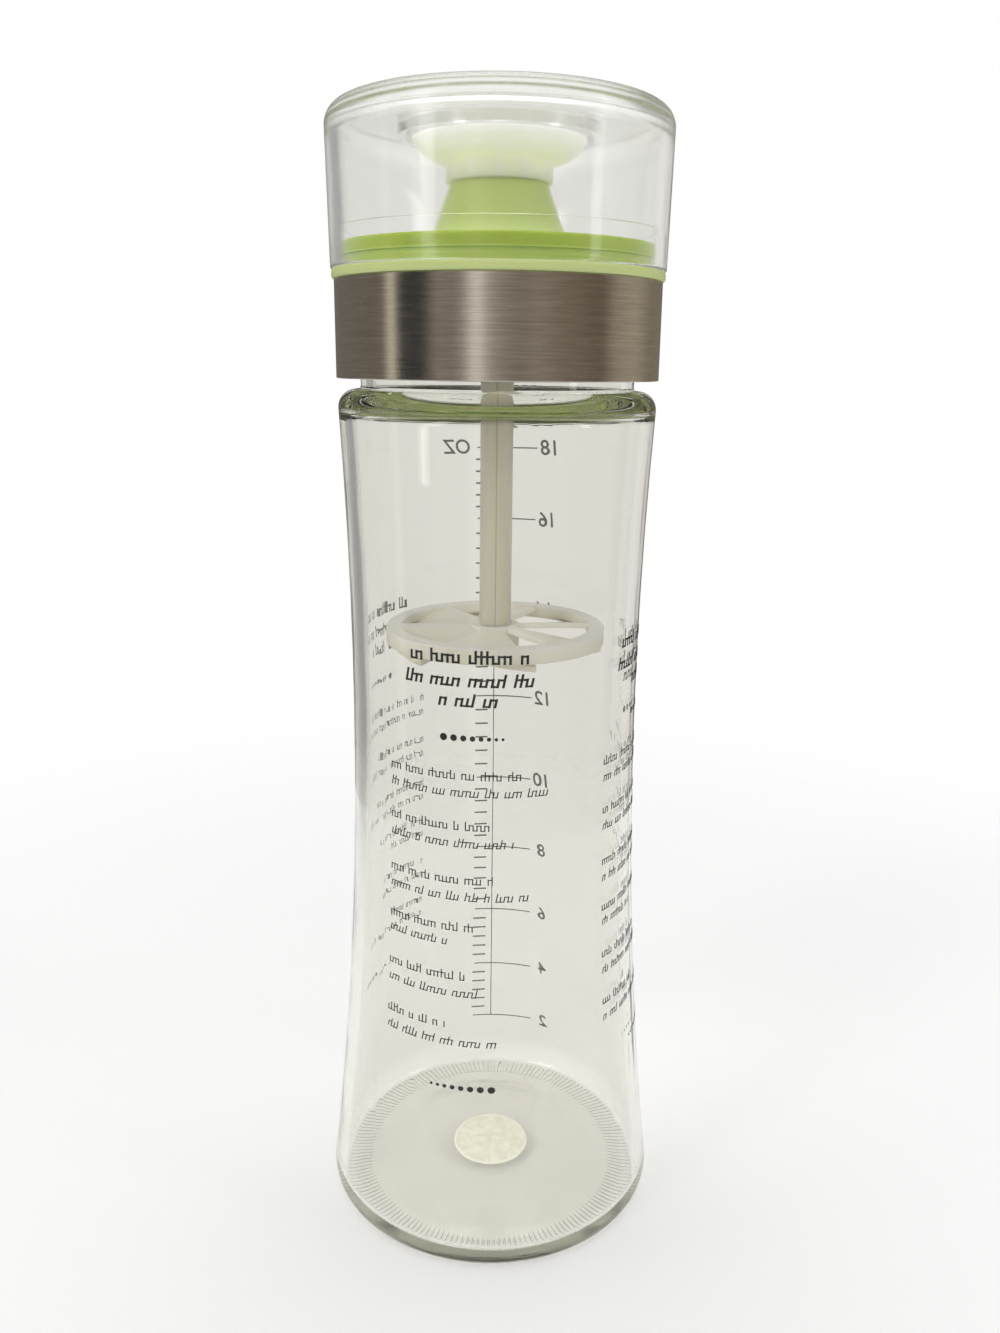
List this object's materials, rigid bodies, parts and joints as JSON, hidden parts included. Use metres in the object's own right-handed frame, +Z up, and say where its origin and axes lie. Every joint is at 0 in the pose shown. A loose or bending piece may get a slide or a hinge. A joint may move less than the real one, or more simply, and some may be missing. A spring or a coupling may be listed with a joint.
{
  "type": "salad dressing mixer bottle",
  "caption": "Waisted clear glass dressing bottle with a green pour lid in a steel sleeve, a plunger with a vaned mixing disc and a clear push-on overcap.",
  "frame": {"origin": "centre of the bearing ring under the glass base, on the surface the bottle stands on", "axes": "+Z up along the bottle's axis; +Y away from the side that the picture shows; +X to the right"},
  "size_m": [0.0788, 0.0788, 0.2457],
  "materials": {
    "clear_glass": "polished clear glass",
    "white_dot": "matt",
    "soft_seal": "soft translucent silicone",
    "green_seal": "soft green silicone",
    "green_plastic": "moulded, satin gloss",
    "brushed_band": "brushed round the band",
    "milky_plastic": "milky, slightly translucent",
    "natural_plastic": "natural, translucent",
    "clear_plastic": "polished clear"
  },
  "bodies": {
    "bottle": {"glass_bottle": "clear_glass", "base_dot": "white_dot"},
    "lid_seal": {"neck_seal": "green_seal"},
    "lid": {"pour_lid": "green_plastic", "steel_band": "brushed_band"},
    "plunger": {"plunger_knob": "milky_plastic", "stopper_seal": "soft_seal", "plunger_rod": "natural_plastic", "mixing_disc": "natural_plastic"},
    "cap": {"clear_cap": "clear_plastic"}
  },
  "joints": [
    {"name": "lid_lift", "type": "slide", "parent": "bottle", "child": "lid_seal", "axis": [0, 0, 1], "range_m": [0, 0.09]},
    {"name": "lid_turn", "type": "hinge", "parent": "lid_seal", "child": "lid", "pos_m": [0, 0, 0.2112], "axis": [0, 0, 1], "range_deg": [0, 90]},
    {"name": "plunger_pull", "type": "slide", "parent": "lid", "child": "plunger", "axis": [0, 0, 1], "range_m": [0, 0.064]},
    {"name": "cap_lift", "type": "slide", "parent": "plunger", "child": "cap", "axis": [0, 0, 1], "range_m": [0, 0.06]}
  ]
}
